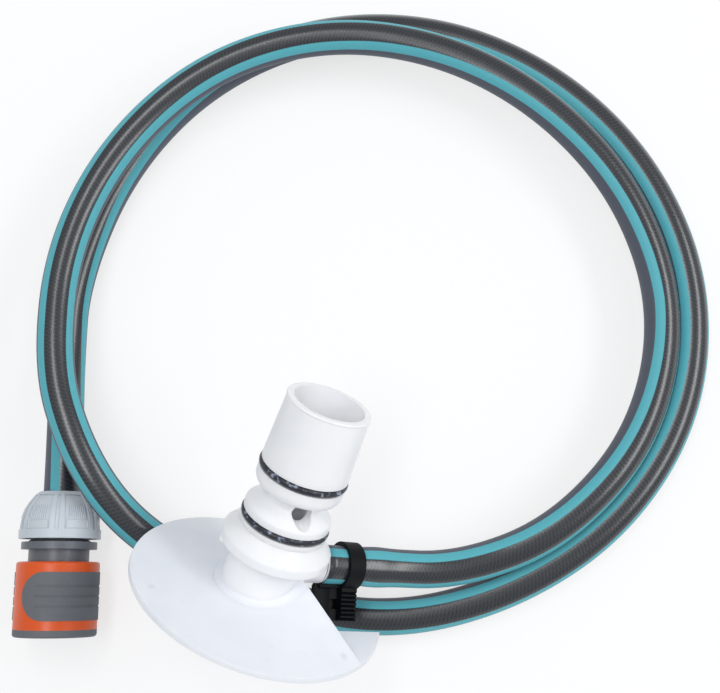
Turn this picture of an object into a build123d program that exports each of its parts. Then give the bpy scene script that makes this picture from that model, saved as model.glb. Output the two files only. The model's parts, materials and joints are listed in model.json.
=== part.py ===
from build123d import *
import math
import os

os.makedirs("parts", exist_ok=True)

# Suction plate: the rim lies in the head's base plane, and heights run along the head's axis
PLATE_R = 58.0
RIM_T = 2.6
RIM_ROUND = 3.4
RIM_LAND = 0.6
PLATE_WALL = 2.8
HUB_WALL = 3.0
HUB_H = 5.8
RIDGE_H = 20.5
RIDGE_AZ = -20.5
RIDGE_FADE = 28.0
RIDGE_FOOT = 4.0
END_WALL = 4.0
NOTCH_W = 54.0
NOTCH_END_AZ = 62.0
NOTCH_LAND = 2.6

# Neck, from the plate's hub to the seat of the stem
NECK_R = 18.4
NECK_TAPER = 1.1
NECK_BASE_H = 0.8
COLLAR_H = 25.2
COLLAR_T = 5.0
COLLAR_STEP = 5.15
COLLAR_ROUND = 1.7
SEAT_RISE = 6.4
SUCTION_R = 13.4
LUG_R = 1.7
LUG_AZ = -165.0
LUG_DROP = 4.2
LUG_INSET = 0.5

# Stem: a plug with one ring, a drilled waist, and a cup with the other ring and an open mouth
PLUG_R = 19.6
SPIGOT_R = 15.2
SPIGOT_LIFT = 0.9
RING_WIRE_R = 1.65
RING_PROUD = 0.5
RING_SQUEEZE = 0.05
GROOVE_SIDE = 0.15
LOWER_RING_RISE = 4.2
SHOULDER_RISE = 5.4
SHOULDER_ROUND = 2.2
CONE_RISE = 4.0
WAIST_R = 12.5
WAIST_L = 4.4
WAIST_ROUND = 1.6
DISH_RISE = 2.0
DISH_ROUND = 4.2
UPPER_RING_RISE = 8.5
CUP_L = 32.9
MOUTH_BORE_R = 15.8
MOUTH_BORE_L = 27.0
MOUTH_WALL = 2.7
LIP_PROUD = 0.35
LIP_H = 1.4
THROAT_R = 8.6
CHAMBER_R = 11.5
WINDOW_R = 4.6
WINDOW_RISE = 0.6
WINDOW_AZ = -56.0

# Side port, barbed inlet and jet: places along the port's own axis, from the head's axis outwards
PORT_AZ = 37.0
PORT_DROP = 6.6
PORT_R = 5.6
PORT_PROUD = 0.3
BOSS_RIM = 0.4
WASHER_T = 0.6
BARB_FLANGE_INSET = 0.55
BARB_FLANGE_T = 1.0
BARB_BORE_R = 4.2
BARB_SLACK = 0.2
BARB_BITE = 0.4
BARB_TEETH = 4
BARB_PITCH = 5.0
BARB_NOSE = 0.6
JET_R = 5.0
JET_TIP_R = 3.4
JET_BORE_R = 3.2
JET_TIP_BORE_R = 2.0
JET_L = 16.5
JET_STUB_L = 5.0

# How the head leans as it lies: turned from the far side, and tilted over on its rim
HEAD_TURN = -23.2
HEAD_TILT = -61.2

# Hose
HOSE_R = 8.75
HOSE_BORE_R = 6.5

# Ratchet clip round the hose, over the barb
CLIP_FROM_STOP = 13.35
CLIP_W = 8.0
CLIP_T = 2.0
CLIP_AZ = 144.0
CLIP_ROOT = 0.6
JAW_L = 14.5
JAW_T = 3.4
TOOTH_COUNT = 7
TOOTH_FROM = 1.0
TOOTH_PITCH = 1.9
TOOTH_W = 1.3
TOOTH_DEEP = 0.9
KEEPER_W = 9.0
KEEPER_T = 3.0
KEEPER_WINDOW = 4.4

# Quick connector: places along its own axis, from the open mouth to the hose
CONNECTOR_AT = (-97.5, -47.2)
END_RING_L = 3.5
END_RING_GAP = 3.1
SLEEVE_R = 19.3
SLEEVE_WALL = 2.2
SLEEVE_L = 31.0
SLEEVE_TOP_T = 3.2
SLEEVE_ROUND = 1.4
SLEEVE_TRAVEL = 5.0
SLIDE_GAP = 0.3
STEP_GAP = 0.5
STOP_GAP = 0.8
RIB_L = 4.7
RIB_GAP = 0.4
CORE_FRONT = 2.0
CORE_WALL = 2.0
SOCKET_R = 8.6
SOCKET_L = 12.7
ENTRY_GAP = 0.6
WATER_R = 4.5
NECK_STEP = 0.8
FLANGE_R = 17.6
FLANGE_T = 3.4
THREAD_R = 13.2
THREAD_L = 7.6
UNDERCUT_DEEP = 1.8
UNDERCUT_L = 1.2
TAIL_L = 15.0
TAIL_FROM = 2.0
TAIL_SLACK = 0.3
TAIL_BITE = 0.3
TAIL_TEETH = 3
TAIL_PITCH = 4.6
SPRING_WIRE_R = 0.6
SPRING_GAP = 0.9
SPRING_TURNS = 3.5
SPRING_END_GAP = 0.1
CLAW_COUNT = 3
CLAW_FROM = 6.5
CLAW_L = 4.5
CLAW_BITE = 0.9
CLAW_HEAD = 1.4
CLAW_LEAD = 1.2
CLAW_SPAN = 26.0
CLAW_CLEAR = 0.3
CLAW_TRAVEL = 1.2
PAD_SPAN = 141.0
PAD_AZ = (-55.5, 124.5)
PAD_INSET = 4.2
PAD_L = 22.0
PAD_DEEP = 1.0
PAD_PROUD = 0.3
PAD_GROOVES = 3
PAD_GROOVE_PITCH = 4.6
PAD_GROOVE_W = 0.9
PAD_GROOVE_DEEP = 0.25

# Union nut and collet
NUT_GAP = 1.5
NUT_L = 22.2
NUT_R = 19.1
NUT_SKIRT = 3.4
NUT_FULLNESS = 0.65
NUT_LIP_T = 2.4
NUT_TOP_WALL = 1.0
NUT_MOUTH_GAP = 0.85
NUT_PANELS = 6
PANEL_SPAN = 39.0
PANEL_DEEP = 0.6
PANEL_INSET = 4.2
PANEL_TOP = 1.8
FLUTE_AZ = -80.3
FLUTE_SPAN = 6.0
THREAD_GAP = 0.3
COLLET_GAP = 0.35
COLLET_WALL = 1.6
COLLET_SEAT = 0.3
COLLET_BASE_T = 2.6
COLLET_SHORT = 2.0
COLLET_SLOTS = 8
COLLET_SLOT_W = 1.4
CONE_GAP = 0.35

# Loose loops of hose, seen from above: centre, mean radius, then how far and which way each is drawn out
UPPER_LOOP = {"centre": (44.9, 110.7), "radius": 146.1, "oval": (4.1, 7.7), "lobe": (3.45, -10.7)}
LOWER_LOOP = {"centre": (56.1, 112.9), "radius": 155.4, "oval": (2.6, 23.5), "lobe": (2.65, -17.6)}
LOOP_STEP = 24.0
UPPER_FROM = -48.0
UPPER_HEIGHTS = (20.8, 19.6, 17.8, 19.2, 24.0, 27.2, 27.6, 27.6, 27.8, 30.5)
LOWER_FROM = -90.0
LOWER_STEPS = 11
FLOOR_GAP = 0.1
FROM_PORT = ((98.0, -14.0, 18.0),)
OVER_NUT = ((-101.5, 79.1, 37.5), (-87.0, 39.0, 40.5), (-67.0, 8.5, 32.0))
UNDER_PLATE = ((-39.8, -11.6, 15.8), (-3.8, -27.8, 8.95))
TO_CONNECTOR = ((-101.6, 84.0, 8.95),)
FIRST_RUN_L = 38.6
LAST_RUN_L = 27.4
ARC_SHARE = 0.45

# How far a cutting shape runs past what it cuts
OVER = 1.0

# Fits: what seats in, slides on or lines up with another piece
NECK_TOP_R = NECK_R - NECK_TAPER
COLLAR_R = PLUG_R + COLLAR_STEP
RING_R = PLUG_R + RING_PROUD
SEAT_H = COLLAR_H + COLLAR_T + SEAT_RISE
LOWER_RING_H = SEAT_H + LOWER_RING_RISE
SHOULDER_H = LOWER_RING_H + SHOULDER_RISE
WAIST_FOOT_H = SHOULDER_H + CONE_RISE
WAIST_TOP_H = WAIST_FOOT_H + WAIST_L
DISH_H = WAIST_TOP_H + DISH_RISE
UPPER_RING_H = DISH_H + UPPER_RING_RISE
MOUTH_H = UPPER_RING_H + CUP_L
MOUTH_R = MOUTH_BORE_R + MOUTH_WALL
PORT_H = COLLAR_H - PORT_DROP
PORT_FACE = COLLAR_R + PORT_PROUD
SPIGOT_FROM = PORT_H + PORT_R + SPIGOT_LIFT
BARB_FLANGE_R = HOSE_R - BARB_FLANGE_INSET
BARB_STOP = PORT_FACE + WASHER_T + BARB_FLANGE_T

ENTRY_R = SOCKET_R + ENTRY_GAP
CORE_R = ENTRY_R + CORE_WALL
SPRING_R = CORE_R + SPRING_GAP + SPRING_WIRE_R
BODY_NECK_R = SPRING_R + SPRING_WIRE_R + NECK_STEP
CLAW_INNER_R = SOCKET_R - CLAW_BITE
CLAW_OUTER_R = CORE_R + CLAW_HEAD
CAM_SLOPE = CLAW_TRAVEL / SLEEVE_TRAVEL
CAM_FROM = CLAW_FROM - CLAW_CLEAR
CAM_END = CLAW_FROM + CLAW_L + CLAW_CLEAR
RIB_END = CAM_END + RIB_L
SOCKET_END = CAM_END + SOCKET_L
SLEEVE_END = END_RING_L + SLEEVE_L
BODY_NECK_FROM = SLEEVE_END - SLEEVE_TOP_T - STEP_GAP
FLANGE_FROM = SLEEVE_END + SLEEVE_TRAVEL + STOP_GAP
FLANGE_END = FLANGE_FROM + FLANGE_T
NUT_FROM = FLANGE_END + NUT_GAP
NUT_TOP = NUT_FROM + NUT_L
NUT_LIP_FROM = NUT_TOP - NUT_LIP_T
THREAD_END = NUT_FROM + THREAD_L
HOSE_STOP = THREAD_END + TAIL_FROM
COLLET_FROM = HOSE_STOP + COLLET_SEAT
COLLET_BORE_R = HOSE_R + COLLET_GAP
NUT_BORE_R = THREAD_R + THREAD_GAP
NUT_CONE_END_R = COLLET_BORE_R + COLLET_WALL
NUT_MOUTH_R = HOSE_R + NUT_MOUTH_GAP
NUT_TOP_R = NUT_MOUTH_R + NUT_TOP_WALL

nodes = {}


def revolved(*corners):
    """A full turn of a closed outline of (radius, height) corners. A third number rounds its corner."""
    points = [(corner[0], 0, corner[1]) for corner in corners]
    rounds = [corner[2] if len(corner) > 2 else 0 for corner in corners]
    return revolve(make_face(FilletPolyline(*points, radius=rounds, close=True)), Axis.Z)


def disc(radius, low, high):
    """A plain cylinder about Z."""
    return Pos(0, 0, low) * extrude(Circle(radius), high - low)


def ring(inner, outer, low, high):
    """A plain ring about Z."""
    return Pos(0, 0, low) * extrude(Circle(outer) - Circle(inner), high - low)


def wedge(span, reach, low, high, azimuth=0.0):
    """A pie slice about Z, centred on an azimuth, that covers all within its reach."""
    rim = CenterArc((0, 0), 2 * reach, azimuth - span / 2, span)
    pie = make_face(Curve() + [rim, Polyline(rim @ 1, (0, 0), rim @ 0)])
    return Pos(0, 0, low) * extrude(pie, high - low)


# Suction plate

def skirt_height(radius, turn):
    """Height of the skirt's upper face at a radius, and at an angle past the ridge."""
    inward = (PLATE_R - radius) / (PLATE_R - NECK_R)
    flare = RIM_T + (HUB_H - RIM_T) * inward ** 2
    ridge = RIM_T + (RIDGE_H - RIM_T) * inward
    return flare + (ridge - flare) * math.exp(-turn / RIDGE_FADE)


def skirt_section(turn, inner, outer, drop, floor):
    """One radial section of the skirt, lowered by drop, standing on the floor height."""
    azimuth = math.radians(RIDGE_AZ - turn)
    count = 5
    radii = [inner + (outer - inner) * i / count for i in range(count + 1)]

    def at(radius, height):
        return (radius * math.cos(azimuth), radius * math.sin(azimuth), height)

    top = [at(r, max(skirt_height(r, turn) - drop, floor + RIM_LAND)) for r in radii]
    legs = Polyline(top[-1], at(outer, floor), at(inner, floor), top[0])
    return make_face(Curve() + [Spline(*top), legs])


def skirt_loft(first, last, inner, outer, drop, floor):
    """The skirt swept round from one angle past the ridge to another."""
    turns = [0.0, 20.0, 45.0, 75.0, 110.0, 145.0, 180.0, 215.0, 250.0]
    between = [t for t in turns if first + 8 < t < last - 8]
    return loft([skirt_section(t, inner, outer, drop, floor) for t in (first, *between, last)])


def suction_plate():
    tall = RIDGE_H + OVER
    full_turn = 360.0 - (NOTCH_END_AZ - RIDGE_AZ)
    skirt = skirt_loft(0.0, full_turn, NECK_R - OVER, PLATE_R + OVER, 0.0, 0.0)
    hollow_to = PLATE_R - 2 * RIM_ROUND
    hollow = skirt_loft(END_WALL, full_turn - END_WALL, NECK_R + HUB_WALL, hollow_to, PLATE_WALL, -OVER)
    crown = RIDGE_H + RIM_ROUND
    envelope = revolved((0, 0), (PLATE_R, 0), (PLATE_R, RIM_T + OVER, RIM_ROUND), (NECK_R, crown), (0, crown))
    open_span = NOTCH_END_AZ - RIDGE_AZ
    open_mid = (NOTCH_END_AZ + RIDGE_AZ) / 2
    low_flange = disc(PLATE_R + OVER, 0, RIM_T) & wedge(open_span + OVER, PLATE_R, -OVER, tall, open_mid)
    hub = disc(NECK_R + HUB_WALL, 0, HUB_H)
    slot = Rot(0, 0, PORT_AZ) * Pos(PLATE_R, 0, 0) * Box(2 * PLATE_R, NOTCH_W, 2 * tall)
    notch_span = open_span - RIDGE_FOOT
    notch = slot & wedge(notch_span, PLATE_R, -OVER, tall, NOTCH_END_AZ - notch_span / 2)
    notch -= disc(NECK_R + HUB_WALL + NOTCH_LAND, -2 * OVER, 2 * tall)
    plate = (skirt & envelope) - hollow + (low_flange & envelope) + hub
    return plate - notch - disc(NECK_R, -OVER, tall)


# Neck, stem and their rings

def on_port(part):
    """Places a part made along Z on the side port's axis, with its X along the head's axis."""
    direction = (math.cos(math.radians(PORT_AZ)), math.sin(math.radians(PORT_AZ)), 0)
    return Plane(origin=(0, 0, PORT_H), x_dir=(0, 0, 1), z_dir=direction).location * part


def neck_body():
    top = COLLAR_H + COLLAR_T
    wall = revolved(
        (SUCTION_R, NECK_BASE_H), (NECK_R, NECK_BASE_H), (NECK_R, HUB_H),
        (NECK_TOP_R, COLLAR_H, COLLAR_ROUND), (COLLAR_R, COLLAR_H, COLLAR_ROUND),
        (COLLAR_R, top, COLLAR_ROUND), (PLUG_R, SEAT_H), (SPIGOT_R, SEAT_H),
        (SPIGOT_R, SPIGOT_FROM), (SUCTION_R, SPIGOT_FROM),
    )
    boss = on_port(disc(BARB_FLANGE_R + BOSS_RIM, SUCTION_R, PORT_FACE))
    inside = disc(SUCTION_R, 0, SPIGOT_FROM) + disc(SPIGOT_R, SPIGOT_FROM, SEAT_H)
    lug_at = Pos(COLLAR_R - LUG_INSET - LUG_R, 0, COLLAR_H - LUG_DROP + LUG_R)
    lug = Rot(0, 0, LUG_AZ) * lug_at * (Sphere(LUG_R) + disc(LUG_R, 0, LUG_DROP))
    return wall + (boss - inside) + lug - on_port(disc(PORT_R, 0, PORT_FACE + OVER))


def flow_tube():
    half = RING_WIRE_R + GROOVE_SIDE
    floor = RING_R - 2 * RING_WIRE_R + RING_SQUEEZE
    low, high = LOWER_RING_H, UPPER_RING_H
    body = revolved(
        (CHAMBER_R, SPIGOT_FROM), (SPIGOT_R, SPIGOT_FROM), (SPIGOT_R, SEAT_H), (PLUG_R, SEAT_H),
        (PLUG_R, low - half), (floor, low - half), (floor, low + half), (PLUG_R, low + half),
        (PLUG_R, SHOULDER_H, SHOULDER_ROUND), (WAIST_R, WAIST_FOOT_H, WAIST_ROUND),
        (WAIST_R, WAIST_TOP_H, WAIST_ROUND), (PLUG_R, DISH_H, DISH_ROUND),
        (PLUG_R, high - half), (floor, high - half), (floor, high + half), (PLUG_R, high + half),
        (MOUTH_R, MOUTH_H - LIP_H), (MOUTH_R + LIP_PROUD, MOUTH_H - LIP_H / 2), (MOUTH_R, MOUTH_H),
        (MOUTH_BORE_R, MOUTH_H), (MOUTH_BORE_R, MOUTH_H - MOUTH_BORE_L), (THROAT_R, WAIST_TOP_H),
        (THROAT_R, WAIST_FOOT_H), (CHAMBER_R, LOWER_RING_H),
    )
    window_h = WAIST_FOOT_H + WINDOW_RISE
    return body - Rot(0, 0, WINDOW_AZ) * Pos(0, 0, window_h) * Rot(0, 90, 0) * Cylinder(WINDOW_R, 2 * RING_R)


def o_ring(height):
    return Pos(0, 0, height) * Torus(RING_R - RING_WIRE_R, RING_WIRE_R)


# Side port pieces

def barbs(root, tip, start, teeth, pitch):
    """The outline of hose barbs that lean back towards their start."""
    places = [start + i * pitch for i in range(teeth)]
    return [point for low in places for point in ((tip, low + BARB_NOSE), (root, low + pitch))]


def inlet_barb():
    seat = PORT_FACE + WASHER_T
    foot = SUCTION_R + JET_STUB_L
    root, tip = HOSE_BORE_R - BARB_SLACK, HOSE_BORE_R + BARB_BITE
    return on_port(revolved(
        (BARB_BORE_R, foot), (PORT_R, foot), (PORT_R, seat), (BARB_FLANGE_R, seat),
        (BARB_FLANGE_R, BARB_STOP), (root, BARB_STOP), *barbs(root, tip, BARB_STOP, BARB_TEETH, BARB_PITCH),
        (BARB_BORE_R, BARB_STOP + BARB_TEETH * BARB_PITCH),
    ))


def barb_washer():
    return on_port(ring(PORT_R, BARB_FLANGE_R, PORT_FACE, PORT_FACE + WASHER_T))


def jet_nozzle():
    stub_end = SUCTION_R + JET_STUB_L
    tip_h = PORT_H + JET_L
    leg = on_port(disc(JET_R, 0, SUCTION_R) + disc(PORT_R, SUCTION_R - OVER, stub_end))
    jet = revolved((0, PORT_H), (JET_R, PORT_H), (JET_TIP_R, tip_h), (0, tip_h))
    elbow = Pos(0, 0, PORT_H) * Sphere(JET_R)
    feed = on_port(disc(JET_BORE_R, 0, stub_end + OVER)) + Pos(0, 0, PORT_H) * Sphere(JET_BORE_R)
    way = revolved((0, PORT_H), (JET_BORE_R, PORT_H), (JET_TIP_BORE_R, tip_h), (JET_TIP_BORE_R, tip_h + OVER),
                   (0, tip_h + OVER))
    return leg + jet + elbow - feed - way


def hose_clamp():
    outer = HOSE_R + CLIP_T
    band = ring(HOSE_R, outer, -CLIP_W / 2, CLIP_W / 2)
    jaw_mid = outer - CLIP_ROOT + JAW_L / 2
    tongue = Pos(jaw_mid, -JAW_T / 2, 0) * Box(JAW_L, JAW_T, CLIP_W)
    tooth = make_face(Polyline((0, 0), (TOOTH_W, 0), (TOOTH_W / 2, TOOTH_DEEP), close=True))
    notch = extrude(tooth, CLIP_W, both=True)
    notches = [Pos(outer + TOOTH_FROM + i * TOOTH_PITCH, -JAW_T, 0) * notch for i in range(TOOTH_COUNT)]
    keeper = Pos(jaw_mid, KEEPER_T / 2, -CLIP_W / 2) * Box(JAW_L, KEEPER_T, KEEPER_W)
    window_at = Pos(jaw_mid, KEEPER_T / 2, -CLIP_W / 2 - KEEPER_W / 4)
    window = window_at * Box(KEEPER_WINDOW, 2 * KEEPER_T, KEEPER_WINDOW)
    clip = band + (tongue - notches) + (keeper - window) - disc(HOSE_R, -CLIP_W, CLIP_W)
    return on_port(Pos(0, 0, BARB_STOP + CLIP_FROM_STOP) * Rot(0, 0, CLIP_AZ) * clip)


# Quick connector, made along Z from its mouth

def pad_shape(azimuth, inner, outer):
    """The outline of a grip pad, as a piece of a ring with one round end and one straight end."""
    end_r = PAD_L / 2
    low = END_RING_L + PAD_INSET
    round_turn = math.degrees(end_r / SLEEVE_R)
    shell = ring(inner, outer, low, low + PAD_L)
    straight = shell & wedge(PAD_SPAN - round_turn, outer, 0, low + 2 * PAD_L, round_turn / 2)
    end = Pos((outer + inner) / 2, 0, low + end_r) * Rot(0, 90, 0) * Cylinder(end_r - 0.01, outer)
    rounded = shell & (Rot(0, 0, round_turn - PAD_SPAN / 2) * end)
    return Rot(0, 0, azimuth) * (straight + rounded)


def cam_radius(height):
    """Outside of the claws: a cone, so that the sleeve wedges them in and lets them out as it slides."""
    return CLAW_OUTER_R - CAM_SLOPE * (height - CLAW_FROM)


def release_sleeve():
    inner = SLEEVE_R - SLEEVE_WALL
    top_from = SLEEVE_END - SLEEVE_TOP_T
    top_bore = BODY_NECK_R + SLIDE_GAP
    rib_bore = CORE_R + RIB_GAP
    shell = revolved(
        (inner, END_RING_L), (SLEEVE_R, END_RING_L), (SLEEVE_R, SLEEVE_END, SLEEVE_ROUND),
        (top_bore, SLEEVE_END), (top_bore, top_from), (inner, top_from),
        (inner, RIB_END), (rib_bore, RIB_END), (rib_bore, CAM_END),
        (cam_radius(CAM_END) + CLAW_CLEAR, CAM_END), (cam_radius(CAM_FROM) + CLAW_CLEAR, CAM_FROM),
        (inner, CAM_FROM),
    )
    return shell - [pad_shape(azimuth, SLEEVE_R - PAD_DEEP, SLEEVE_R + OVER) for azimuth in PAD_AZ]


def sleeve_grip(azimuth):
    inner, outer = SLEEVE_R - PAD_DEEP, SLEEVE_R + PAD_PROUD
    mid = END_RING_L + PAD_INSET + PAD_L / 2
    places = [mid + (i - (PAD_GROOVES - 1) / 2) * PAD_GROOVE_PITCH for i in range(PAD_GROOVES)]
    half = PAD_GROOVE_W / 2
    reach = wedge(PAD_SPAN - PAD_L, outer, 0, SLEEVE_END, azimuth + PAD_L / 2)
    grooves = [ring(outer - PAD_GROOVE_DEEP, outer + OVER, p - half, p + half) & reach for p in places]
    return pad_shape(azimuth, inner, outer) - grooves


def sleeve_end_ring():
    bore = CORE_R + END_RING_GAP
    return revolved((bore, 0), (SLEEVE_R, 0, SLEEVE_ROUND), (SLEEVE_R, END_RING_L), (bore, END_RING_L))


def claw_azimuth(index):
    return -90.0 + index * 360.0 / CLAW_COUNT


def connector_body():
    undercut_r = THREAD_R + UNDERCUT_DEEP
    thread_from = FLANGE_END + UNDERCUT_L
    root, tip = HOSE_BORE_R - TAIL_SLACK, HOSE_BORE_R + TAIL_BITE
    tail_end = HOSE_STOP + TAIL_L
    body = revolved(
        (ENTRY_R, CORE_FRONT), (CORE_R, CORE_FRONT), (CORE_R, BODY_NECK_FROM), (BODY_NECK_R, BODY_NECK_FROM),
        (BODY_NECK_R, FLANGE_FROM), (FLANGE_R, FLANGE_FROM), (FLANGE_R, FLANGE_END), (undercut_r, FLANGE_END),
        (THREAD_R, thread_from), (THREAD_R, THREAD_END), (root, THREAD_END), (root, HOSE_STOP),
        *barbs(root, tip, HOSE_STOP, TAIL_TEETH, TAIL_PITCH), (root, tail_end), (WATER_R, tail_end),
        (WATER_R, SOCKET_END), (SOCKET_R, SOCKET_END), (SOCKET_R, CAM_END), (ENTRY_R, CAM_END),
    )
    gap_angle = math.degrees(2 * CLAW_CLEAR / CLAW_INNER_R)
    slot = ring(CLAW_INNER_R, CORE_R + OVER, CAM_FROM, CAM_END)
    span = CLAW_SPAN + 2 * gap_angle
    return body - [slot & wedge(span, CORE_R, 0, SOCKET_END, claw_azimuth(i)) for i in range(CLAW_COUNT)]


def locking_jaw(index):
    end = CLAW_FROM + CLAW_L
    claw = revolved(
        (CLAW_INNER_R, CLAW_FROM + CLAW_LEAD), (CLAW_INNER_R + CLAW_LEAD, CLAW_FROM),
        (cam_radius(CLAW_FROM), CLAW_FROM), (cam_radius(end), end), (CLAW_INNER_R, end),
    )
    return claw & wedge(CLAW_SPAN, CLAW_OUTER_R, 0, SOCKET_END, claw_azimuth(index))


def sleeve_spring():
    low = RIB_END + SPRING_WIRE_R + SPRING_END_GAP
    high = BODY_NECK_FROM - SPRING_WIRE_R - SPRING_END_GAP
    path = Pos(0, 0, low) * Helix((high - low) / SPRING_TURNS, high - low, SPRING_R)
    section = Plane(origin=path @ 0, z_dir=path % 0) * Circle(SPRING_WIRE_R)
    return sweep(section, path, is_frenet=True)


def nut_solid(deep, inside):
    """The nut's domed outside, set in by a depth, closed by the corners of its inside."""
    side_r, top_r = NUT_R - deep, NUT_TOP_R - deep
    dome_from = NUT_FROM + NUT_SKIRT
    bend_h = dome_from + NUT_FULLNESS * (NUT_TOP - dome_from)
    dome = Bezier((side_r, 0, dome_from), (side_r, 0, bend_h), (top_r, 0, NUT_TOP))
    corners = [(top_r, NUT_TOP), *inside, (side_r, NUT_FROM), (side_r, dome_from)]
    rest = Polyline(*[(r, 0, h) for r, h in corners])
    return revolve(make_face(Curve() + [dome, rest]), Axis.Z)


def union_nut():
    step = 360.0 / NUT_PANELS
    low, high = NUT_FROM + PANEL_INSET, NUT_TOP - PANEL_TOP
    core = nut_solid(PANEL_DEEP, [(0, NUT_TOP), (0, NUT_FROM)])
    places = [(PANEL_SPAN, (i + 0.5) * step) for i in range(NUT_PANELS)]
    places += [(FLUTE_SPAN, i * step) for i in range(NUT_PANELS)]
    sunk = [wedge(span, NUT_R, low, high, FLUTE_AZ + turn) - core for span, turn in places]
    return nut_solid(0.0, [
        (NUT_MOUTH_R, NUT_TOP), (NUT_MOUTH_R, NUT_LIP_FROM), (NUT_CONE_END_R, NUT_LIP_FROM),
        (NUT_BORE_R, HOSE_STOP), (NUT_BORE_R, NUT_FROM),
    ]) - sunk


def hose_collet():
    slope = (NUT_BORE_R - NUT_CONE_END_R) / (NUT_LIP_FROM - HOSE_STOP)
    end = NUT_LIP_FROM - COLLET_SHORT

    def cone(height):
        return NUT_BORE_R - slope * (height - HOSE_STOP) - CONE_GAP

    body = revolved(
        (COLLET_BORE_R, COLLET_FROM), (cone(COLLET_FROM), COLLET_FROM), (cone(end), end), (COLLET_BORE_R, end)
    )
    slot_from = COLLET_FROM + COLLET_BASE_T
    slot = Pos(NUT_R / 2, 0, (slot_from + NUT_TOP) / 2) * Box(NUT_R, COLLET_SLOT_W, NUT_TOP - slot_from)
    return body - [Rot(0, 0, i * 360.0 / COLLET_SLOTS) * slot for i in range(COLLET_SLOTS)]


# Hose: from the port's barb, round two loose loops, to the connector's tail

def loop_point(loop, angle, height):
    """A corner of the route, set outside the loop so that the middles of its runs lie on it."""
    oval, oval_az = loop["oval"]
    lobe, lobe_az = loop["lobe"]
    radius = loop["radius"]
    radius += oval * math.cos(math.radians(2 * (angle - oval_az)))
    radius += lobe * math.cos(math.radians(3 * (angle - lobe_az)))
    radius /= math.cos(math.radians(LOOP_STEP / 2))
    turn = math.radians(angle)
    x, y = loop["centre"]
    return Vector(x + radius * math.cos(turn), y + radius * math.sin(turn), height)


def hose_route(port_end, port_way, tail_end, tail_way):
    low = HOSE_R + FLOOR_GAP
    route = [port_end, port_end + port_way * FIRST_RUN_L]
    route += [Vector(p) for p in FROM_PORT]
    route += [loop_point(UPPER_LOOP, UPPER_FROM + LOOP_STEP * i, h) for i, h in enumerate(UPPER_HEIGHTS)]
    route += [Vector(p) for p in (*OVER_NUT, *UNDER_PLATE)]
    route += [loop_point(LOWER_LOOP, LOWER_FROM + LOOP_STEP * i, low) for i in range(LOWER_STEPS + 1)]
    route += [Vector(p) for p in TO_CONNECTOR]
    return route + [tail_end + tail_way * LAST_RUN_L, tail_end]


def corner_radii(route):
    radii = []
    for before, corner, after in zip(route, route[1:], route[2:]):
        run_in, run_out = corner - before, after - corner
        half_turn = math.radians(run_in.get_angle(run_out)) / 2
        radii.append(ARC_SHARE * min(run_in.length, run_out.length) / math.tan(half_turn))
    return radii


def hose(route):
    radii = corner_radii(route)
    path = FilletPolyline(*route, radius=radii)
    start = Plane(origin=path @ 0, z_dir=path % 0)
    section = start * (Circle(HOSE_R) - Circle(HOSE_BORE_R))
    tube = sweep(section, path)
    expected = math.pi * (HOSE_R ** 2 - HOSE_BORE_R ** 2) * path.length
    print(f"hose length {path.length:.1f} mm, volume over section times length {tube.volume / expected:.5f}")
    print("hose bend radii", " ".join(f"{r:.0f}" for r in radii))
    steps = 700
    spots = [path @ (i / steps) for i in range(steps + 1)]
    apart = math.ceil(4 * HOSE_R / path.length * steps)
    least = min((a - b).length for i, a in enumerate(spots) for b in spots[i + apart:])
    print(f"hose least gap to itself {least - 2 * HOSE_R:.2f} mm")
    return tube


# Assembly: the head leans on its rim, with its own box standing on the floor about the origin
lean = Rot(0, 0, HEAD_TURN) * Rot(HEAD_TILT, 0, 0)
head = {
    "suction_plate": suction_plate(),
    "neck_body": neck_body(),
    "flow_tube": flow_tube(),
    "lower_o_ring": o_ring(LOWER_RING_H),
    "upper_o_ring": o_ring(UPPER_RING_H),
    "jet_nozzle": jet_nozzle(),
    "inlet_barb": inlet_barb(),
    "barb_washer": barb_washer(),
}
box = Compound(children=[lean * part for part in head.values()]).bounding_box()
head_at = Pos(-(box.min.X + box.max.X) / 2, -(box.min.Y + box.max.Y) / 2, -box.min.Z) * lean
for name, part in {**head, "hose_clamp": hose_clamp()}.items():
    nodes[name] = head_at * part

connector_at = Plane(origin=(*CONNECTOR_AT, SLEEVE_R + PAD_PROUD), x_dir=(1, 0, 0), z_dir=(0, 1, 0)).location
connector = {
    "connector_body": connector_body(),
    "release_sleeve": release_sleeve(),
    "sleeve_end_ring": sleeve_end_ring(),
    "sleeve_spring": sleeve_spring(),
    "union_nut": union_nut(),
    "hose_collet": hose_collet(),
}
for i, azimuth in enumerate(PAD_AZ):
    connector[f"sleeve_grip_{i + 1}"] = sleeve_grip(azimuth)
for i in range(CLAW_COUNT):
    connector[f"locking_jaw_{i + 1}"] = locking_jaw(i)
for name, part in connector.items():
    nodes[name] = connector_at * part

port_start = (head_at * on_port(Pos(0, 0, BARB_STOP))).position
port_next = (head_at * on_port(Pos(0, 0, BARB_STOP + 1))).position
tail_start = (connector_at * Pos(0, 0, HOSE_STOP)).position
tail_next = (connector_at * Pos(0, 0, HOSE_STOP + 1)).position
print("head foot", head_at.position, "head axis", (head_at * Pos(0, 0, 1)).position - head_at.position)
print("hose ends", port_start, port_next - port_start, tail_start)
nodes["hose"] = hose(hose_route(port_start, port_next - port_start, tail_start, tail_next - tail_start))

for name, part in nodes.items():
    export_step(part, f"parts/{name}.step")
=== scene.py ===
"""A jet pool cleaner head, its feed hose in two loose loops, and the hose's quick connector."""
import json
import math

import bpy
import bmesh
import numpy as np
from mathutils import Matrix, Vector
from mathutils.bvhtree import BVHTree


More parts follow.
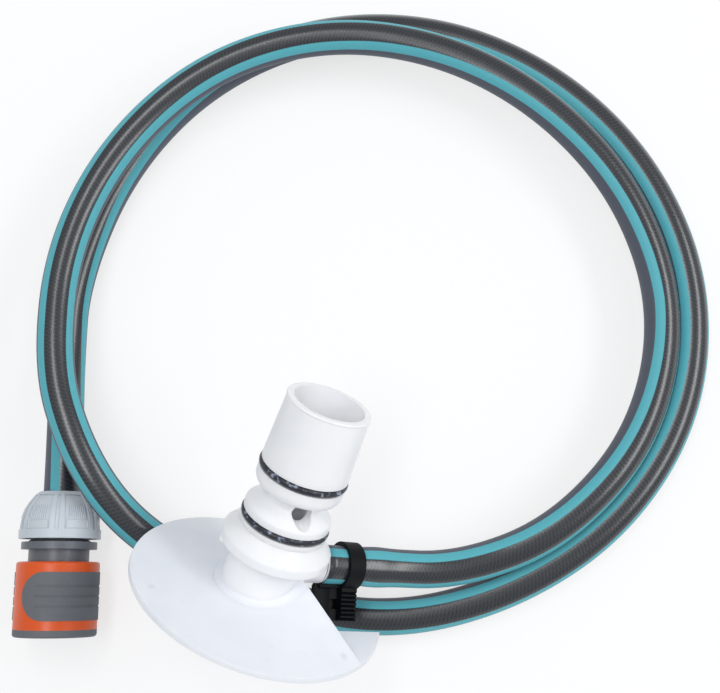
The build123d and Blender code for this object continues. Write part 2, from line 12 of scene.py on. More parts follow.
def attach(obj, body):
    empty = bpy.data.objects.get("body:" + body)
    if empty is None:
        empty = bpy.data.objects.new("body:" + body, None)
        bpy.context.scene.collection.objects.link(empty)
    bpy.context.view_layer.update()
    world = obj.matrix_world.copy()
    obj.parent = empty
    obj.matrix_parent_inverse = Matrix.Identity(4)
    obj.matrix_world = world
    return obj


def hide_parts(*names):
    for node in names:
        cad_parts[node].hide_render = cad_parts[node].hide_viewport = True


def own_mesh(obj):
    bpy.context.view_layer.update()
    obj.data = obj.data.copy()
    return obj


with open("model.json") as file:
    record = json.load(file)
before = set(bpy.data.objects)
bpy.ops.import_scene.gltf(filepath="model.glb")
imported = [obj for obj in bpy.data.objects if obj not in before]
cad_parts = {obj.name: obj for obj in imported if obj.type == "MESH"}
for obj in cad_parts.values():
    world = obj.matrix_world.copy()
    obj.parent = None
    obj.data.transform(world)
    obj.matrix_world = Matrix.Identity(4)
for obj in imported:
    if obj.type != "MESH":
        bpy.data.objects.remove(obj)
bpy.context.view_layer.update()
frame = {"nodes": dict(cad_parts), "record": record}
scene = bpy.context.scene
scene.view_settings.view_transform = "Standard"
MM = 0.001
FULL_TURN = 2 * math.pi


# Where things stand: the leaning head, and the connector on the floor

def stand(spot, turn, lean):
    """The frame of a group of pieces, leaned about X, turned about Z and moved to its spot."""
    return (
        Matrix.Translation(Vector(spot) * MM)
        @ Matrix.Rotation(math.radians(turn), 4, "Z")
        @ Matrix.Rotation(math.radians(lean), 4, "X")
    )


HEAD = stand((-0.3406, -27.7615, 50.8258), turn=-23.2, lean=-61.2)
CONNECTOR = stand((-97.5, -47.2, 19.6), turn=0, lean=-90)


def on_head(radius, azimuth, height):
    """A point of the head, from its own cylinder coordinates in millimetres and degrees."""
    turn = math.radians(azimuth)
    return HEAD @ (Vector((radius * math.cos(turn), radius * math.sin(turn), height)) * MM)


# Node graphs, written as expressions

class Wire:
    """A socket in a node graph. Arithmetic on it adds Math nodes."""

    def __init__(self, graph, socket):
        self.graph, self.socket = graph, socket

    def math(self, operation, *values):
        return self.graph.node("ShaderNodeMath", {"operation": operation}, dict(enumerate(values)))

    def __add__(self, other):
        return self.math("ADD", self, other)

    def __sub__(self, other):
        return self.math("SUBTRACT", self, other)

    def __rsub__(self, other):
        return self.math("SUBTRACT", other, self)

    def __mul__(self, other):
        return self.math("MULTIPLY", self, other)

    def __truediv__(self, other):
        return self.math("DIVIDE", self, other)

    def __mod__(self, other):
        return self.math("MODULO", self, other)

    def __pow__(self, other):
        return self.math("POWER", self, other)

    __radd__, __rmul__ = __add__, __mul__

    def sin(self):
        return self.math("SINE", self)

    def cos(self):
        return self.math("COSINE", self)

    def abs(self):
        return self.math("ABSOLUTE", self)

    def floor(self):
        return self.math("FLOOR", self)

    def most(self, other):
        return self.math("MAXIMUM", self, other)

    def rise(self, low, high):
        """0 below low, 1 above high, with a smooth step between."""
        settings = {"interpolation_type": "SMOOTHSTEP"}
        inputs = {"Value": self, "From Min": low, "From Max": high}
        return self.graph.node("ShaderNodeMapRange", settings, inputs)


class Graph:
    """A node tree whose nodes are all added by one method."""

    def __init__(self, tree):
        self.tree = tree

    def feed(self, socket, value):
        if isinstance(value, Wire):
            self.tree.links.new(value.socket, socket)
        else:
            socket.default_value = value

    def node(self, kind, settings=None, inputs=None, output=0):
        """Adds a node: its settings first, then the values or wires of its sockets."""
        made = self.tree.nodes.new(kind)
        for name, value in (settings or {}).items():
            setattr(made, name, value)
        for name, value in (inputs or {}).items():
            self.feed(made.inputs[name], value)
        return Wire(self, made.outputs[output])


class Finish(Graph):
    """A material: constants on its shader, and what varies over the surface as wires."""

    def __init__(self, name, **constants):
        self.material = bpy.data.materials.new(name)
        self.material.use_nodes = True
        super().__init__(self.material.node_tree)
        self.shader = self.tree.nodes["Principled BSDF"]
        self.give(**constants)

    def give(self, **channels):
        for name, value in channels.items():
            self.feed(self.shader.inputs[name.replace("_", " ")], value)
        return self

    def place(self):
        return self.node("ShaderNodeTexCoord", output="Object")

    def noise(self, size_mm, detail, stretch=(1, 1, 1)):
        """Cloudy noise from 0 to 1, with features of about that size."""
        factors = {0: self.place(), 1: stretch}
        spot = self.node("ShaderNodeVectorMath", {"operation": "MULTIPLY"}, factors)
        inputs = {"Vector": spot, "Scale": 1 / (size_mm * MM), "Detail": detail}
        return self.node("ShaderNodeTexNoise", None, inputs)

    def near(self, point):
        """Distance from a point, in millimetres."""
        settings, ends = {"operation": "DISTANCE"}, {0: self.place(), 1: tuple(point)}
        return self.node("ShaderNodeVectorMath", settings, ends, output="Value") / MM

    def mix(self, factor, first, second):
        """A colour between two others."""
        inputs = {0: factor, 6: first, 7: second}
        return self.node("ShaderNodeMix", {"data_type": "RGBA"}, inputs, output=2)

    def bump(self, height_mm):
        """A normal from a height in millimetres."""
        return self.node("ShaderNodeBump", None, {"Distance": MM, "Height": height_mm})


class Pattern(Graph):
    """A geometry tree with named inputs, which repeats one shape round an axis."""

    BAR_SIDES = 8

    def __init__(self, name, inputs):
        super().__init__(bpy.data.node_groups.new(name, "GeometryNodeTree"))
        sockets = self.tree.interface
        sockets.new_socket("Solid", in_out="OUTPUT", socket_type="NodeSocketGeometry")
        for label, kind in inputs.items():
            sockets.new_socket(label, in_out="INPUT", socket_type=f"NodeSocket{kind}")
        self.inputs = self.tree.nodes.new("NodeGroupInput").outputs

    def given(self, label):
        return Wire(self, self.inputs[label])

    def round_bar(self, line, **more):
        """A bar of the given half width along a line."""
        circle = {"Resolution": self.BAR_SIDES, "Radius": self.given("Half width")}
        section = self.node("GeometryNodeCurvePrimitiveCircle", None, circle)
        inputs = {"Curve": line, "Profile Curve": section}
        inputs |= {name.replace("_", " "): value for name, value in more.items()}
        return self.node("GeometryNodeCurveToMesh", None, inputs)

    def repeat(self, shape, count, turn):
        """Ends the tree: the shape at each of its turns, as one solid in the given finish."""
        rows = self.node("GeometryNodeInstanceOnPoints", None, {
            "Points": self.node("GeometryNodePoints", None, {"Count": count}),
            "Instance": shape,
            "Rotation": self.node("ShaderNodeCombineXYZ", None, {"Z": turn}),
        })
        solid = self.node("GeometryNodeRealizeInstances", None, {"Geometry": rows})
        finished = {"Geometry": solid, "Material": self.given("Finish")}
        done = self.node("GeometryNodeSetMaterial", None, finished)
        self.feed(self.tree.nodes.new("NodeGroupOutput").inputs[0], done)
        return self


def tint(red, green, blue):
    """A screen colour, 0 to 255, as linear RGBA."""
    def linear(c):
        c /= 255
        return c / 12.92 if c < 0.04045 else ((c + 0.055) / 1.055) ** 2.4
    return (linear(red), linear(green), linear(blue), 1.0)


# Finishes

DIMPLE_EDGE, DIMPLE_DEPTH = (0.3, 2.6), 0.22


def moulded_white(name, light, dark, rough, grain_mm, dimples=(), glow=0.3):
    """White moulded plastic: faint clouding, fine grain, and shallow round moulding marks, each
    darkened with painted shade.
    """
    f = Finish(
        name, IOR=1.46,
        Subsurface_Weight=glow, Subsurface_Radius=(1, 1, 1), Subsurface_Scale=0.004,
    )
    cloud = f.noise(26, 4).rise(0.35, 0.7)
    scuff = f.noise(7, 6, stretch=(1, 1, 2.4)).rise(0.62, 0.74)
    height = f.noise(grain_mm, 2) * 0.008 + f.noise(9, 3) * 0.03
    colour = f.mix(cloud, tint(*light), tint(*dark))
    for point in dimples:
        mark = 1 - f.near(point).rise(*DIMPLE_EDGE)
        height = height - DIMPLE_DEPTH * mark
        # painted shade: each moulding mark is darkened towards a blue grey
        colour = f.mix(mark * 0.3, colour, tint(186, 194, 208))
    f.give(Base_Color=f.mix(scuff * 0.12, colour, tint(206, 212, 222)))
    return f.give(Roughness=rough + 0.1 * cloud + 0.12 * scuff, Normal=f.bump(height)).material


def seal_rubber():
    """Black rubber with painted highlights: pale bluish streaks, which are also a little rougher.
    """
    f = Finish("seal_rubber", IOR=1.5)
    painted_glare = f.noise(2.6, 6, stretch=(1, 1, 0.6)).rise(0.52, 0.66)
    # painted highlights: pale bluish streaks laid over the black
    f.give(Base_Color=f.mix(painted_glare * 0.7, tint(31, 36, 46), tint(168, 180, 200)))
    return f.give(Roughness=0.38 + 0.25 * painted_glare, Normal=f.bump(f.noise(0.5, 2) * 0.01)).material


def grained_plastic(name, colour, worn, rough, grain_mm=0.35, grain=0.012, sheen=0.5):
    """Coloured moulded plastic with a fine grain and a little wear."""
    f = Finish(name, IOR=1.47, Specular_IOR_Level=sheen)
    cloud = f.noise(12, 4).rise(0.35, 0.7)
    wear = f.noise(2.2, 6).rise(0.6, 0.75)
    f.give(Base_Color=f.mix(cloud * 0.35 + wear * 0.2, tint(*colour), tint(*worn)))
    height = f.noise(grain_mm, 2) * grain
    return f.give(Roughness=rough + 0.08 * cloud + 0.1 * wear, Normal=f.bump(height)).material


def spring_steel():
    """Bright drawn wire."""
    f = Finish("spring_steel", Metallic=1.0)
    drawn = f.noise(0.8, 4)
    f.give(Base_Color=f.mix(drawn, tint(150, 152, 156), tint(196, 198, 200)))
    return f.give(Roughness=0.28 + 0.15 * drawn).material


# The braid's pitch along the hose in millimetres, and its lean in turns for each degree round it
BRAID_PITCH, BRAID_LEAN = 1.9, 0.035
# Where the dark band and the stripes end, and how far the band wavers, in degrees from its middle
BAND_EDGE, STRIPE_EDGE, BAND_WAVER = (34.5, 36.0), (66.5, 68.0), 0.9


def braided_hose():
    """Hose skin on its own map: metres along the hose, and once round it from 0 to 1.
    A dark braided band at the middle, a turquoise stripe on each side, and plain grey behind."""
    f = Finish(
        "braided_hose", IOR=1.5, Specular_IOR_Level=0.2, Coat_Roughness=0.25, Coat_IOR=1.62
    )
    skin = {0: f.node("ShaderNodeUVMap", {"uv_map": "skin"})}
    along = f.node("ShaderNodeSeparateXYZ", None, skin, output="X") / MM
    around = (f.node("ShaderNodeSeparateXYZ", None, skin, output="Y") - 0.5) * 360
    side = around.abs()
    lean = around * BRAID_LEAN
    left = ((along / BRAID_PITCH + lean) * FULL_TURN).sin()
    right = ((along / BRAID_PITCH - lean) * FULL_TURN).sin()
    braid = left.most(right * 0.75)
    waver = BAND_WAVER * (along / (BRAID_PITCH / 2) * FULL_TURN).sin()
    band = 1 - (side + waver).rise(*BAND_EDGE)
    back = side.rise(*STRIPE_EDGE)
    glint = braid.rise(0.35, 1.0)
    mottle = f.noise(3.0, 4)
    dark = f.mix(glint * 0.35 + mottle * 0.1, tint(22, 26, 32), tint(72, 75, 82))
    stripe = f.mix(mottle * 0.35, tint(94, 178, 189), tint(82, 163, 180))
    grey = f.mix(mottle * 0.3, tint(89, 94, 105), tint(81, 86, 97))
    f.give(Base_Color=f.mix(band, f.mix(back, stripe, grey), dark))
    on_band = band * braid * 0.06
    on_stripe = (1 - back) * (1 - band) * braid * 0.02
    height = on_band + on_stripe + f.noise(0.6, 2) * 0.006
    return f.give(
        Roughness=0.3 + 0.1 * mottle + 0.12 * (1 - band),
        Coat_Weight=0.95 * band,
        Normal=f.bump(height),
    ).material


# Moulding marks on the plate, each darkened with painted shade, as radius, azimuth and height on
# the head
PLATE_MARKS = ((50.5, -142, 2.76), (51.75, -27, 4.86), (50.5, 98, 2.7))
PLATE_LOOK = {"light": (237, 239, 245), "dark": (231, 234, 242), "rough": 0.44, "grain_mm": 0.5}

plate_white = moulded_white(
    "plate_white", **PLATE_LOOK, dimples=[on_head(*mark) for mark in PLATE_MARKS]
)
fillet_white = moulded_white("fillet_white", **PLATE_LOOK, glow=0.0)
stem_white = moulded_white("stem_white", (245, 245, 247), (240, 241, 244), 0.36, 0.4)
jaw_white = grained_plastic("jaw_white", (226, 227, 226), (214, 216, 218), 0.36)
ring_black = seal_rubber()
clip_black = grained_plastic("clip_black", (8, 9, 13), (14, 16, 22), 0.5, 0.6, 0.02, sheen=0.2)
nut_grey = grained_plastic("nut_grey", (197, 204, 211), (187, 195, 203), 0.4)
body_grey = grained_plastic("body_grey", (100, 104, 111), (93, 97, 104), 0.36)
sleeve_orange = grained_plastic("sleeve_orange", (224, 88, 28), (216, 84, 28), 0.32)
grip_grey = grained_plastic("grip_grey", (104, 107, 112), (97, 100, 106), 0.62, 0.28, 0.03)
steel = spring_steel()

FINISHES = (
    (plate_white, ("suction_plate",)),
    (stem_white, ("neck_body", "flow_tube", "jet_nozzle", "inlet_barb")),
    (ring_black, ("lower_o_ring", "upper_o_ring", "barb_washer")),
    (clip_black, ("hose_clamp",)),
    (nut_grey, ("union_nut",)),
    (body_grey, ("connector_body",)),
    (sleeve_orange, ("release_sleeve",)),
    (grip_grey, ("sleeve_grip_1", "sleeve_grip_2", "sleeve_end_ring")),
    (steel, ("sleeve_spring",)),
    (jaw_white, ("hose_collet", "locking_jaw_1", "locking_jaw_2", "locking_jaw_3")),
)
for finish, names in FINISHES:
    for name in names:
        frame["nodes"][name].data.materials.clear()
        frame["nodes"][name].data.materials.append(finish)


# Pieces from built meshes

SHARP_EDGE = math.radians(40)


def solid(name, bm, finish):
    """Turns a built mesh into an object in one finish."""
    mesh = bpy.data.meshes.new(name)
    bm.to_mesh(mesh)
    bm.free()
    mesh.materials.append(finish)
    made = bpy.data.objects.new(name, mesh)
    scene.collection.objects.link(made)
    return made


def smooth_outwards(bm):
    """Turns the faces of a built mesh outwards and shades them smooth."""
    bmesh.ops.recalc_face_normals(bm, faces=bm.faces)
    for face in bm.faces:
        face.smooth = True


def piece(name, bm, body, finish):
    """Turns a built mesh into a smooth piece that rides on a body."""
    smooth_outwards(bm)
    made = solid(name, bm, finish)
    made.data.set_sharp_from_angle(angle=SHARP_EDGE)
    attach(made, body)
    return made


def close_rows(bm, rows):
    """Joins rows of points into one closed shape, with a face at each end."""
    for first, second in zip(rows, rows[1:]):
        for k in range(len(first)):
            n = (k + 1) % len(first)
            bm.faces.new((first[k], first[n], second[n], second[k]))
    bm.faces.new(rows[0])
    bm.faces.new(rows[-1])


def as_mesh(holder):
    """A plain mesh of what an object's curve or modifiers give."""
    ready = bpy.context.evaluated_depsgraph_get()
    return bpy.data.meshes.new_from_object(holder.evaluated_get(ready))


# Feed hose: radii in metres, and the points of its route in millimetres

HOSE_R, HOSE_BORE_R, HOSE_SIDES = 0.00875, 0.0065, 40
LOOP_STEP = 24.0
UPPER_LOOP = {
    "centre": (44.9, 110.7), "radius": 146.1, "oval": (4.1, 7.7), "lobe": (3.45, -10.7),
    "start": -48, "heights": (20.8, 19.6, 17.8, 19.2, 24.0, 27.2, 27.6, 27.6, 27.8, 30.5),
}
LOWER_LOOP = {
    "centre": (56.1, 112.9), "radius": 155.4, "oval": (2.6, 23.5), "lobe": (2.65, -17.6),
    "start": -90, "heights": (8.85,) * 12,
}
PORT_RUN = ((28.687, -14.063, 45.732), (51.25, -15.343, 31.704), (94.0, -17.0, 19.5))
OVER_NUT = ((-101.5, 79.1, 37.5), (-87.0, 39.0, 40.5), (-67.0, 8.5, 32.0))
UNDER_PLATE = ((-39.8, -11.6, 15.8), (-3.8, -27.8, 8.95))
CONNECTOR_RUN = ((-101.6, 84.0, 8.95), (-97.5, 44.0, 19.6), (-97.5, 7.6, 19.6))

# Which way the braided band faces: degrees outwards from straight up, at shares of the length
BAND_AT = (0.0, 0.06, 0.14, 0.27, 0.40, 0.46, 0.56, 0.66, 0.76, 0.86, 0.94, 1.0)
BAND_OUT = (12.0, 18.0, 33.0, -4.0, -15.0, -5.0, 16.0, 18.0, 20.0, 12.0, -20.0, -45.0)

# The hose swells a little beyond the clip, where it leaves the barb
SWELL, SWELL_AT, SWELL_HALF = 0.06, 0.0275, 0.0065


def loop_points(loop):
    """Route points of one oval loop, pushed out so that the smooth line keeps its radius."""
    (oval, oval_at), (lobe, lobe_at) = loop["oval"], loop["lobe"]
    points = []
    for i, height in enumerate(loop["heights"]):
        angle = loop["start"] + LOOP_STEP * i
        reach = loop["radius"] + oval * math.cos(math.radians(2 * (angle - oval_at)))
        reach += lobe * math.cos(math.radians(3 * (angle - lobe_at)))
        reach /= math.cos(math.radians(LOOP_STEP / 2))
        turn = math.radians(angle)
        x, y = loop["centre"]
        points.append((x + reach * math.cos(turn), y + reach * math.sin(turn), height))
    return points


def hose_line():
    """Points along the smooth line of the hose."""
    route = [
        *PORT_RUN, *loop_points(UPPER_LOOP), *OVER_NUT,
        *UNDER_PLATE, *loop_points(LOWER_LOOP), *CONNECTOR_RUN,
    ]
    curve = bpy.data.curves.new("hose_line", "CURVE")
    curve.dimensions = "3D"
    curve.resolution_u = 14
    spline = curve.splines.new("NURBS")
    spline.points.add(len(route) - 1)
    for point, spot in zip(spline.points, route):
        point.co = (*(Vector(spot) * MM), 1.0)
    spline.order_u = 3
    spline.use_endpoint_u = True
    holder = bpy.data.objects.new("hose_line", curve)
    scene.collection.objects.link(holder)
    mesh = as_mesh(holder)
    points = np.array([v.co for v in mesh.vertices])
    bpy.data.objects.remove(holder)
    bpy.data.meshes.remove(mesh)
    return points


def hose_tube(points):
    """A mesh tube along the points, with its bore and its own map: metres along, and once round."""
    runs = np.linalg.norm(np.diff(points, axis=0), axis=1)
    along = np.concatenate([[0], np.cumsum(runs)])
    tangent = np.gradient(points, along, axis=0)
    tangent /= np.linalg.norm(tangent, axis=1)[:, None]
    up = np.array([0, 0, 1.0]) - tangent * tangent[:, 2:3]
    up /= np.linalg.norm(up, axis=1)[:, None]
    out = np.cross(tangent, up)
    facing = np.interp(along / along[-1], BAND_AT, BAND_OUT)
    swell = 1 + SWELL * np.exp(-((along - SWELL_AT) / SWELL_HALF) ** 2)
    bm = bmesh.new()
    skin = bm.loops.layers.uv.new("skin")

    def rings(radius):
        rows = []
        for spot, u, o, face, reach in zip(points, up, out, facing, radius * swell):
            degrees = [face + 360 * (k / HOSE_SIDES - 0.5) for k in range(HOSE_SIDES)]
            ways = [u * math.cos(a) + o * math.sin(a) for a in map(math.radians, degrees)]
            rows.append([bm.verts.new(spot + reach * way) for way in ways])
        return rows

    def strip(first, second, lengths, around):
        for k in range(HOSE_SIDES):
            n = (k + 1) % HOSE_SIDES
            face = bm.faces.new((first[k], first[n], second[n], second[k]))
            corners = ((0, k), (0, k + 1), (1, k + 1), (1, k))
            for loop, (row, col) in zip(face.loops, corners):
                loop[skin].uv = (lengths[row], around * col / HOSE_SIDES)

    outer, inner = rings(HOSE_R), rings(HOSE_BORE_R)
    for i in range(len(points) - 1):
        strip(outer[i], outer[i + 1], along[i:i + 2], 1.0)
        strip(inner[i + 1], inner[i], along[i:i + 2], 0.0)
    strip(inner[0], outer[0], along[[0, 0]], 0.0)
    strip(outer[-1], inner[-1], along[[-1, -1]], 0.0)
    smooth_outwards(bm)
    return solid("feed_hose", bm, braided_hose()), along[-1]


line = hose_line()
hose, hose_length = hose_tube(line)
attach(hose, "frame")
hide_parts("hose")


# Union nut: fine ribs on its panels, and a bead round the plain foot of each

NUT_FROM, NUT_L, NUT_SKIRT, NUT_FULLNESS = 45.2, 22.2, 3.4, 0.65
NUT_FOOT, NUT_TOP = NUT_FROM + NUT_SKIRT, NUT_FROM + NUT_L
NUT_BEND = NUT_FOOT + NUT_FULLNESS * (NUT_TOP - NUT_FOOT)
PANELS, PANEL_FLOOR_R, PANEL_TOP_R = 6, 18.5, 10.0
FLUTE_AZ = -80.3
RIBS, RIB_STEP, RIB_LOW, RIB_HIGH, RIB_POINTS = 9, 3.4, 0.24, 0.57, 8
# A rib's width at its middle and how bluntly it ends, and the points round a bead and its corners
RIB_FULL, RIB_BLUNT = 1.02, 8.0
BEAD_POINTS, BEAD_CORNER_POINTS = 64, 5


def panel_rib_pattern():
    """One bent rib with round ends, repeated in a row on every panel round the axis."""
    p = Pattern("panel_ribs", {
        "Panels": "Int", "First panel": "Float", "Ribs in a row": "Int",
        "Angle between ribs": "Float", "Half width": "Float",
        "Low end": "Vector", "Bend": "Vector", "High end": "Vector", "Finish": "Material",
    })
    spine = p.node("GeometryNodeCurveQuadraticBezier", None, {
        "Resolution": RIB_POINTS,
        "Start": p.given("Low end"), "Middle": p.given("Bend"), "End": p.given("High end"),
    })
    from_middle = (p.node("GeometryNodeSplineParameter") - 0.5) * 2.0
    fullness = (RIB_FULL - from_middle.abs() ** RIB_BLUNT) ** 0.5
    spine = p.node("GeometryNodeSetCurveRadius", None, {"Curve": spine, "Radius": fullness})
    rib = p.round_bar(spine, Scale=p.node("GeometryNodeInputRadius"), Fill_Caps=True)
    panels, in_row = p.given("Panels"), p.given("Ribs in a row")
    index = p.node("GeometryNodeInputIndex")
    panel = (index / in_row).floor()
    place = index % in_row - (in_row - 1.0) / 2.0
    turn = p.given("First panel") + panel * FULL_TURN / panels
    return p.repeat(rib, panels * in_row, turn + place * p.given("Angle between ribs"))


def panel_bead_pattern():
    """A rounded frame laid on the dome, repeated on every panel round the axis."""
    p = Pattern("panel_beads", {
        "Panels": "Int", "First panel": "Float", "Width": "Float", "Height": "Float",
        "Corner": "Float", "Half width": "Float", "Share at middle": "Float",
        "Dome length": "Float", "Foot radius": "Float", "Draw in": "Float",
        "Foot height": "Float", "Rise": "Float", "Fall": "Float", "Finish": "Material",
    })
    sides = {"Width": p.given("Width"), "Height": p.given("Height")}
    bead_line = p.node("GeometryNodeCurvePrimitiveQuadrilateral", None, sides)
    corners = {"Curve": bead_line, "Count": BEAD_CORNER_POINTS, "Radius": p.given("Corner")}
    bead_line = p.node("GeometryNodeFilletCurve", {"mode": "POLY"}, corners)
    even = {"Curve": bead_line, "Count": BEAD_POINTS}
    bead_line = p.node("GeometryNodeResampleCurve", None, even)
    flat = {0: p.node("GeometryNodeInputPosition")}
    across = p.node("ShaderNodeSeparateXYZ", None, flat, output="X")
    up = p.node("ShaderNodeSeparateXYZ", None, flat, output="Y")
    share = p.given("Share at middle") + up / p.given("Dome length")
    squared = share * share
    radius = p.given("Foot radius") - squared * p.given("Draw in")
    height = share * p.given("Rise") + squared * p.given("Fall")
    turn = across / p.given("Foot radius")
    laid = p.node("ShaderNodeCombineXYZ", None, {
        "X": radius * turn.cos(), "Y": radius * turn.sin(), "Z": p.given("Foot height") + height,
    })
    on_dome = {"Geometry": bead_line, "Position": laid}
    bead = p.round_bar(p.node("GeometryNodeSetPosition", None, on_dome))
    around = p.node("GeometryNodeInputIndex") * FULL_TURN / p.given("Panels")
    return p.repeat(bead, p.given("Panels"), around + p.given("First panel"))


def nut_piece(name, pattern, sizes):
    """A plain mesh from a pattern in the connector's own frame, which rides on the nut."""
    first_panel = math.radians(FLUTE_AZ + 180 / PANELS)
    values = {"Panels": PANELS, "First panel": first_panel, "Finish": nut_grey, **sizes}
    holder = bpy.data.objects.new(name, bpy.data.meshes.new(name))
    scene.collection.objects.link(holder)
    modifier = holder.modifiers.new(name, "NODES")
    modifier.node_group = pattern.tree
    for item in pattern.tree.interface.items_tree:
        if item.in_out == "INPUT":
            modifier[item.identifier] = values[item.name]
    mesh = as_mesh(holder)
    holder.modifiers.clear()
    holder.data = mesh
    mesh.transform(CONNECTOR)
    for face in mesh.polygons:
        face.use_smooth = True
    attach(holder, "nut")
    return holder


def panel_ribs():
    """Ribs that follow the nut's dome, from one share of its height to another."""
    foot, bend, top = (
        Vector(spot) for spot in
        ((PANEL_FLOOR_R, NUT_FOOT), (PANEL_FLOOR_R, NUT_BEND), (PANEL_TOP_R, NUT_TOP))
    )

    def on_dome(s, t):
        radius, height = foot.lerp(bend, s).lerp(bend.lerp(top, s), t)
        return Vector((radius, 0, height)) * MM

    return nut_piece("panel_ribs", panel_rib_pattern(), {
        "Ribs in a row": RIBS, "Angle between ribs": math.radians(RIB_STEP), "Half width": 0.0004,
        "Low end": on_dome(RIB_LOW, RIB_LOW), "Bend": on_dome(RIB_LOW, RIB_HIGH),
        "High end": on_dome(RIB_HIGH, RIB_HIGH),
    })


def panel_beads():
    """Beads round the plain foot of each panel, below its ribs."""
    return nut_piece("panel_beads", panel_bead_pattern(), {
        "Width": 0.0112, "Height": 0.0040, "Corner": 0.0011, "Half width": 0.0003,
        "Share at middle": 0.13, "Dome length": 0.0225,
        "Foot radius": PANEL_FLOOR_R * MM, "Draw in": (PANEL_FLOOR_R - PANEL_TOP_R) * MM,
        "Foot height": NUT_FOOT * MM, "Rise": 2 * (NUT_BEND - NUT_FOOT) * MM,
        "Fall": (NUT_FOOT - 2 * NUT_BEND + NUT_TOP) * MM,
    })


# Return spring: the real one shortens as the sleeve is pulled back, and this one keeps its length

SAME_POINT = 1e-6


def return_spring():
    """The spring's own coil, made a smooth piece of its own on the frame."""
    bm = bmesh.new()
    bm.from_mesh(frame["nodes"]["sleeve_spring"].data)
    bmesh.ops.remove_doubles(bm, verts=bm.verts, dist=SAME_POINT)
    coil = piece("return_spring", bm, "frame", steel)
    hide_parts("sleeve_spring")
    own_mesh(coil)
    return coil


# Soft fillet at the neck's foot

NECK_R, NECK_TOP_R, HUB_H, COLLAR_H = 18.4, 17.3, 5.8, 25.2
NECK_LEAN = (NECK_R - NECK_TOP_R) / (COLLAR_H - HUB_H)
FILLET, FILLET_REACH, FILLET_SOFT = 3.0, 3.6, 2.7
FILLET_FROM, FILLET_TO, FILLET_ROWS, FILLET_POINTS = 64.0, 338.5, 110, 14
# How far its root lies inside the neck and the plate, how far its ends sink into them,
# and how far from the neck the plate's height is first taken
ROOT_IN, ROOT_DOWN, NECK_SINK, PLATE_SINK, NECK_CLEAR = 1.5, 1.0, 0.05, 0.012, 0.3


def neck_fillet():
    """A fillet from the plate's own surface up the neck, closed inside them both."""
    plate = frame["nodes"]["suction_plate"].data
    corners, faces = [v.co for v in plate.vertices], [p.vertices[:] for p in plate.polygons]
    skin = BVHTree.FromPolygons(corners, faces)
    down = HEAD.to_3x3() @ Vector((0, 0, -1))

    def plate_height(radius, azimuth):
        outside = max(radius, NECK_R + NECK_CLEAR)
        drop = skin.ray_cast(on_head(outside, azimuth, COLLAR_H), down)[3]
        return COLLAR_H - drop / MM

    bm = bmesh.new()
    rows = []
    for azimuth in np.linspace(FILLET_FROM, FILLET_TO, FILLET_ROWS):
        foot = plate_height(NECK_R, azimuth)
        inner = NECK_R - NECK_LEAN * max(foot + FILLET - HUB_H, 0) - NECK_SINK
        spots = [(NECK_R - ROOT_IN, foot - ROOT_DOWN)]
        for share in map(math.sin, np.linspace(0, math.pi / 2, FILLET_POINTS)):
            radius = inner + (NECK_R + FILLET_REACH - inner) * (1 - share)
            rise = 1 - (1 - share ** FILLET_SOFT) ** (1 / FILLET_SOFT)
            spots.append((radius, plate_height(radius, azimuth) + FILLET * rise - PLATE_SINK))
        rows.append([bm.verts.new(on_head(r, azimuth, h)) for r, h in spots])
    close_rows(bm, rows)
    return piece("neck_fillet", bm, "frame", fillet_white)


# Black blocks that fill the dark gap beside the clip, and a saddle on the hose, in the clip's own
# frame on the side port

PORT_H, PORT_AZ, CLIP_AT, CLIP_AZ = 18.6, 37.0, 40.0, 144.0
NECK_SIDE_BLOCK = ((9.2, 0.1, -16.4), (24.4, 2.9, -8.3))
WINDOW_BACK = ((14.0, 2.1, -8.6), (20.8, 2.9, -3.0))
BLOCK_EDGE = 0.25
SADDLE = ((8.85, -14.6), (10.4, -14.6), (10.4, -3.6), (8.85, -3.6))
SADDLE_FROM, SADDLE_TO, SADDLE_ROWS = -10.0, 30.0, 17


def clip_dark_fill():
    """Black blocks that fill the dark gap beside the clip, one towards the neck and one behind its
    window, and the saddle on the hose.
    """
    turn = math.radians(PORT_AZ)
    port = Matrix((
        (0, math.sin(turn), math.cos(turn), 0),
        (0, -math.cos(turn), math.sin(turn), 0),
        (1, 0, 0, PORT_H * MM),
        (0, 0, 0, 1),
    ))
    on_port = Matrix.Translation((0, 0, CLIP_AT * MM))
    clip = HEAD @ port @ on_port @ Matrix.Rotation(math.radians(CLIP_AZ), 4, "Z")
    bm = bmesh.new()
    for low, high in (NECK_SIDE_BLOCK, WINDOW_BACK):
        low, high = Vector(low) * MM, Vector(high) * MM
        shape = Matrix.Translation((low + high) / 2) @ Matrix.Diagonal((*(high - low), 1))
        made = bmesh.ops.create_cube(bm, size=1.0, matrix=clip @ shape)
        edges = dict.fromkeys(edge for corner in made["verts"] for edge in corner.link_edges)
        bmesh.ops.bevel(
            bm, geom=list(edges), offset=BLOCK_EDGE * MM, segments=2, profile=0.5, affect="EDGES"
        )
    rows = []
    for turn in map(math.radians, np.linspace(SADDLE_FROM, SADDLE_TO, SADDLE_ROWS)):
        across = Vector((math.cos(turn), math.sin(turn), 0))
        corners = [across * r + Vector((0, 0, z)) for r, z in SADDLE]
        rows.append([bm.verts.new(clip @ (corner * MM)) for corner in corners])
    close_rows(bm, rows)
    return piece("clip_dark_fill", bm, "frame", clip_black)


neck_fillet()
on_hose = [panel_ribs(), panel_beads(), return_spring(), clip_dark_fill()]


# What hangs on the hose: the pieces made here, and the record's cord nodes apart from those
# replaced

replaced = ("hose", "sleeve_spring")
cord_nodes = frame["record"]["physics"]["cord_nodes"]
on_hose += [frame["nodes"][name] for name in cord_nodes if name not in replaced]


# Floor, light and camera

FLOOR_HALF, FLOOR_Z, FLOOR_WHITE = 30.0, -0.0003, 0.7
LOOPS_MIDDLE = (0.05, 0.15, 0.0)


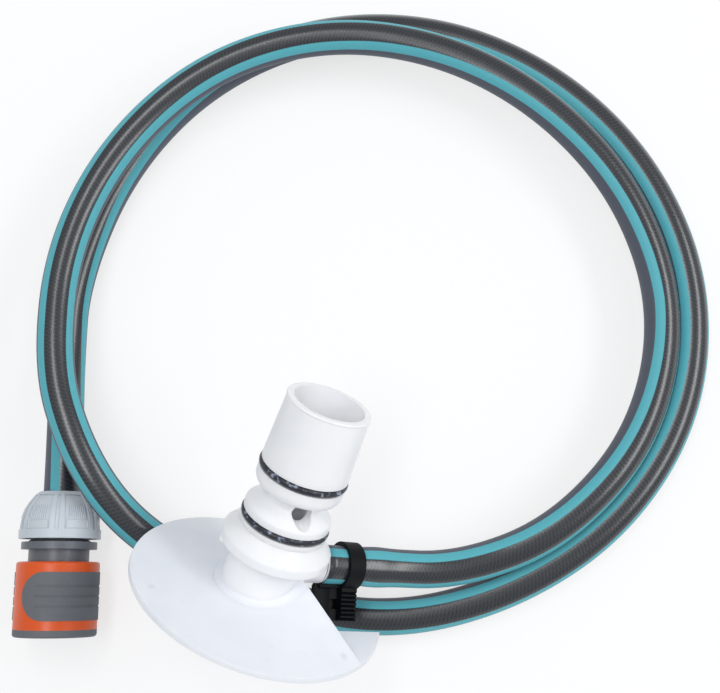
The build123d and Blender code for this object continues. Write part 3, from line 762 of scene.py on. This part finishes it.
def floor():
    """A pale floor that looks white from where it is seen, and keeps a soft shadow."""
    f = Finish("pale_floor", Roughness=0.9)
    f.give(Base_Color=f.mix(f.noise(300, 2), tint(250, 250, 252), tint(247, 248, 250)))
    seen = f.node("ShaderNodeLightPath", output="Is Camera Ray")
    for ray in ("Is Glossy Ray", "Is Transmission Ray"):
        seen = seen.most(f.node("ShaderNodeLightPath", output=ray))
    white = f.node("ShaderNodeEmission", None, {"Color": (1, 1, 1, 1), "Strength": 1.0})
    lit = Wire(f, f.shader.outputs[0])
    shown = f.node("ShaderNodeMixShader", None, {0: seen * FLOOR_WHITE, 1: lit, 2: white})
    f.feed(f.tree.nodes["Material Output"].inputs["Surface"], shown)
    bm = bmesh.new()
    bmesh.ops.create_grid(bm, x_segments=1, y_segments=1, size=FLOOR_HALF)
    ground = solid("floor", bm, f.material)
    ground.location.z = FLOOR_Z
    return ground


def softbox(name, place, size, power):
    """A soft lamp turned to the middle of the loops."""
    lamp = bpy.data.lights.new(name, "AREA")
    lamp.shape = "RECTANGLE"
    lamp.size, lamp.size_y = size
    lamp.energy = power
    holder = bpy.data.objects.new(name, lamp)
    holder.location = place
    aim = Vector(LOOPS_MIDDLE) - Vector(place)
    holder.rotation_euler = aim.to_track_quat("-Z", "Y").to_euler()
    scene.collection.objects.link(holder)


floor()
softbox("top_strip", place=(-0.28, 0.2, 1.6), size=(1.4, 0.36), power=10.2)
softbox("right_strip", place=(1.35, 0.2, 1.25), size=(1.4, 0.42), power=11.8)
world = bpy.data.worlds.new("studio")
world.use_nodes = True
sky = world.node_tree.nodes["Background"].inputs
sky["Color"].default_value = (0.94, 0.975, 1.0, 1.0)
sky["Strength"].default_value = 0.5
scene.world = world

lens = bpy.data.cameras.new("camera")
lens.lens = 55.0
lens.sensor_width = 36.0
lens.clip_start = 0.01
camera = bpy.data.objects.new("camera", lens)
camera.location = Vector((46.1, -21.3, 553.6)) * MM
camera.rotation_euler = (math.radians(12.0), 0.0, 0.0)
scene.collection.objects.link(camera)
scene.camera = camera
